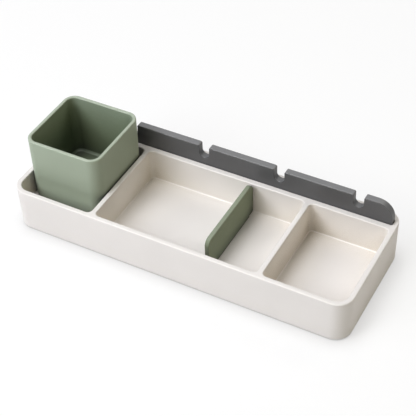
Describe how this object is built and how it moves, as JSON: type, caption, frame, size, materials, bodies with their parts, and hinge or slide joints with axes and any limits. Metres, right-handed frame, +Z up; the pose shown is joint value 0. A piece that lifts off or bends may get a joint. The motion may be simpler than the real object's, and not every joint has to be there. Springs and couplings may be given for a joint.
{
  "type": "cable organizer",
  "caption": "Long desk tray with compartments, a lift-out square pen cup, a divider plate and a notched cable rail standing in the rear rim.",
  "frame": {"origin": "on the desk, under the middle of the tray", "axes": "+X along the tray from the pen cup to the end compartment, +Y to the cable rail at the rear, +Z up"},
  "size_m": [0.3208, 0.1212, 0.0836],
  "materials": {
    "tray_plastic": "fine matte moulded texture, warm off-white",
    "sage_plastic": "fine matte moulded texture, sage green",
    "rail_plastic": "satin matte, dark grey",
    "foot_rubber": "soft matte rubber, black"
  },
  "bodies": {
    "tray": {"tray_body": "tray_plastic", "foot_front_left": "foot_rubber", "foot_rear_left": "foot_rubber", "foot_front_right": "foot_rubber", "foot_rear_right": "foot_rubber"},
    "cup": {"pen_cup": "sage_plastic"},
    "divider_plate": {"divider": "sage_plastic"},
    "rail": {"cable_rail": "rail_plastic"}
  },
  "joints": [
    {"name": "cup_lift", "type": "slide", "parent": "tray", "child": "cup", "axis": [0, 0, 1], "range_m": [0, 0.07]},
    {"name": "divider_lift", "type": "slide", "parent": "tray", "child": "divider_plate", "axis": [0, 0, 1], "range_m": [0, 0.085]},
    {"name": "rail_lift", "type": "slide", "parent": "tray", "child": "rail", "axis": [0, 0, 1], "range_m": [0, 0.07]}
  ]
}
